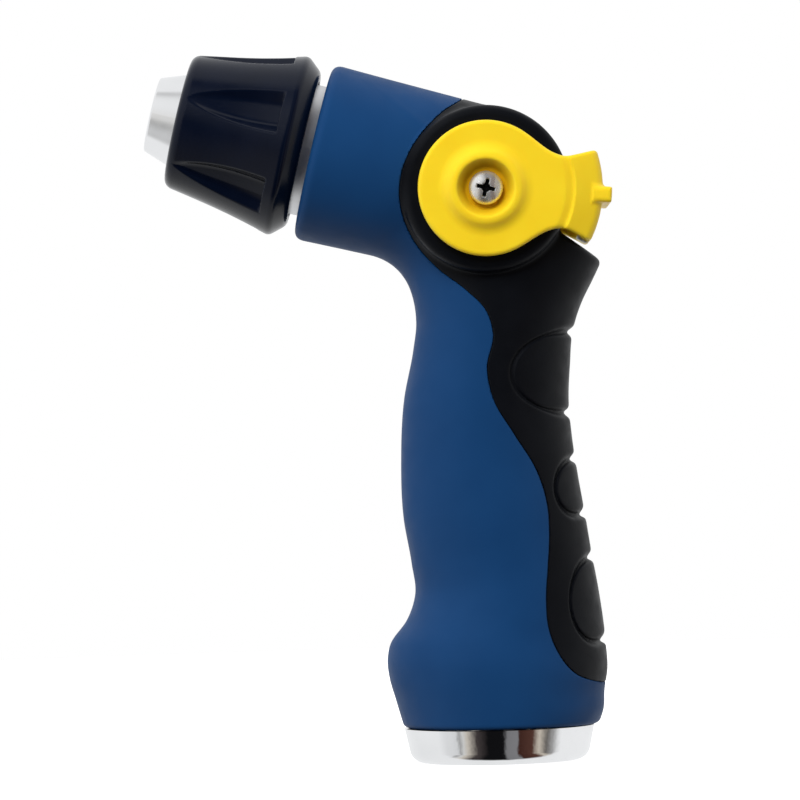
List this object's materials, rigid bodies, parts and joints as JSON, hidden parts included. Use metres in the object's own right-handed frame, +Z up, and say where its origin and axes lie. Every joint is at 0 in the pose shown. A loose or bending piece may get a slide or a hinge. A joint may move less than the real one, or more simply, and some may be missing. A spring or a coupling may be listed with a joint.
{
  "type": "hose spray nozzle",
  "caption": "Pistol-shaped garden hose nozzle with a thumb on/off lever on a plug valve and a twist-adjusted conical spray head.",
  "frame": {"origin": "centre of the hose inlet's mouth, on the plane of the base rim", "axes": "+Z up the handle along the inlet's axis, -X towards the spray tip, +X towards the thumb lever's pad, Y across"},
  "size_m": [0.1025, 0.0476, 0.1567],
  "materials": {
    "chrome_plate": "bright chrome plate on a die casting",
    "blue_rubber": "matte soft-touch moulding",
    "black_rubber": "satin soft-touch moulding",
    "yellow_plastic": "semi-gloss injection moulding",
    "black_plastic": "semi-gloss injection moulding",
    "screw_steel": "bright stainless steel",
    "brass": "machined brass",
    "seat_plastic": "natural acetal",
    "seal_rubber": "nitrile rubber"
  },
  "bodies": {
    "nozzle_body": {"body_casting": "chrome_plate", "rubber_jacket": "blue_rubber", "grip_insert": "black_rubber", "inlet_seat": "seat_plastic", "outlet_seat": "seat_plastic", "seat_o_rings": "seal_rubber", "valve_retainer": "brass", "pivot_washers": "seat_plastic", "barrel_nose": "brass", "nose_gasket": "seal_rubber", "spray_stem": "brass", "travel_stop_ring": "screw_steel", "inlet_washer": "seal_rubber", "filter_screen": "screw_steel"},
    "lever": {"thumb_lever": "yellow_plastic", "lever_screws": "screw_steel", "screw_washers": "screw_steel", "valve_rotor": "brass", "rotor_o_rings": "seal_rubber"},
    "head_slide": {"head_seal_ring": "seal_rubber"},
    "spray_head": {"nozzle_sleeve": "chrome_plate", "twist_knob": "black_plastic"}
  },
  "joints": [
    {"name": "lever_pivot", "type": "hinge", "parent": "nozzle_body", "child": "lever", "pos_m": [0, 0, 0.1252], "axis": [0, -1, 0], "range_deg": [0, 75]},
    {"name": "head_travel", "type": "slide", "parent": "nozzle_body", "child": "head_slide", "axis": [-0.9681, 0, 0.2504], "range_m": [-0.0015, 0.0045]},
    {"name": "head_twist", "type": "hinge", "parent": "head_slide", "child": "spray_head", "pos_m": [0, 0, 0.1252], "axis": [-0.9681, 0, 0.2504], "range_deg": [-180, 540]}
  ],
  "couplings": [
    {"joint": "head_travel", "follows": "head_twist", "m_per_rad": 0.000477}
  ]
}
